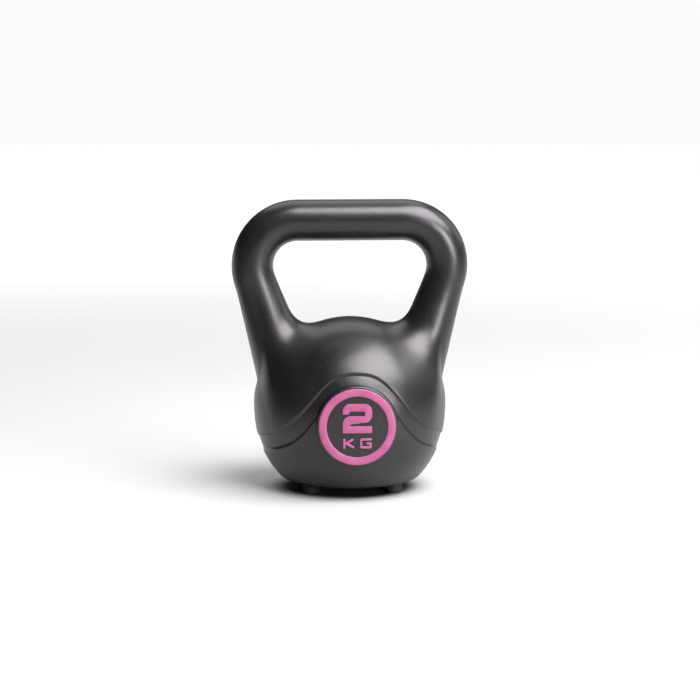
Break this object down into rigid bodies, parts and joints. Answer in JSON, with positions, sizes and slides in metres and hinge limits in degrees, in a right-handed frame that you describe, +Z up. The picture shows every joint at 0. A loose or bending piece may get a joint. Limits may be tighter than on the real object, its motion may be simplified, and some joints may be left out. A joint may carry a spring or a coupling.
{
  "type": "kettlebell",
  "caption": "Small filled kettlebell: a round moulded body with a wide arched handle, flat round badges front and back, a base filler plug and rubber feet.",
  "frame": {"origin": "on the floor, under the middle of the body, level with the bottoms of the feet", "axes": "+Z up, +X along the grip bar to the right as seen from the front, and the front badge faces -Y"},
  "size_m": [0.155, 0.1196, 0.19],
  "materials": {
    "shell": "satin charcoal blow-moulded polyethylene with a fine grain",
    "cement": "dry cast cement and sand",
    "plug": "matt black moulded plastic",
    "foot_rubber": "matt black rubber",
    "marking": "satin pink colour coat on the raised marks"
  },
  "bodies": {
    "root": {"shell": "shell", "core": "cement", "filler_plug": "plug", "foot_front_left": "foot_rubber", "foot_front_right": "foot_rubber", "foot_rear_left": "foot_rubber", "foot_rear_right": "foot_rubber", "ring_front": "marking", "numeral_front": "marking", "unit_letters_front": "marking", "ring_back": "marking", "numeral_back": "marking", "unit_letters_back": "marking"}
  },
  "joints": []
}
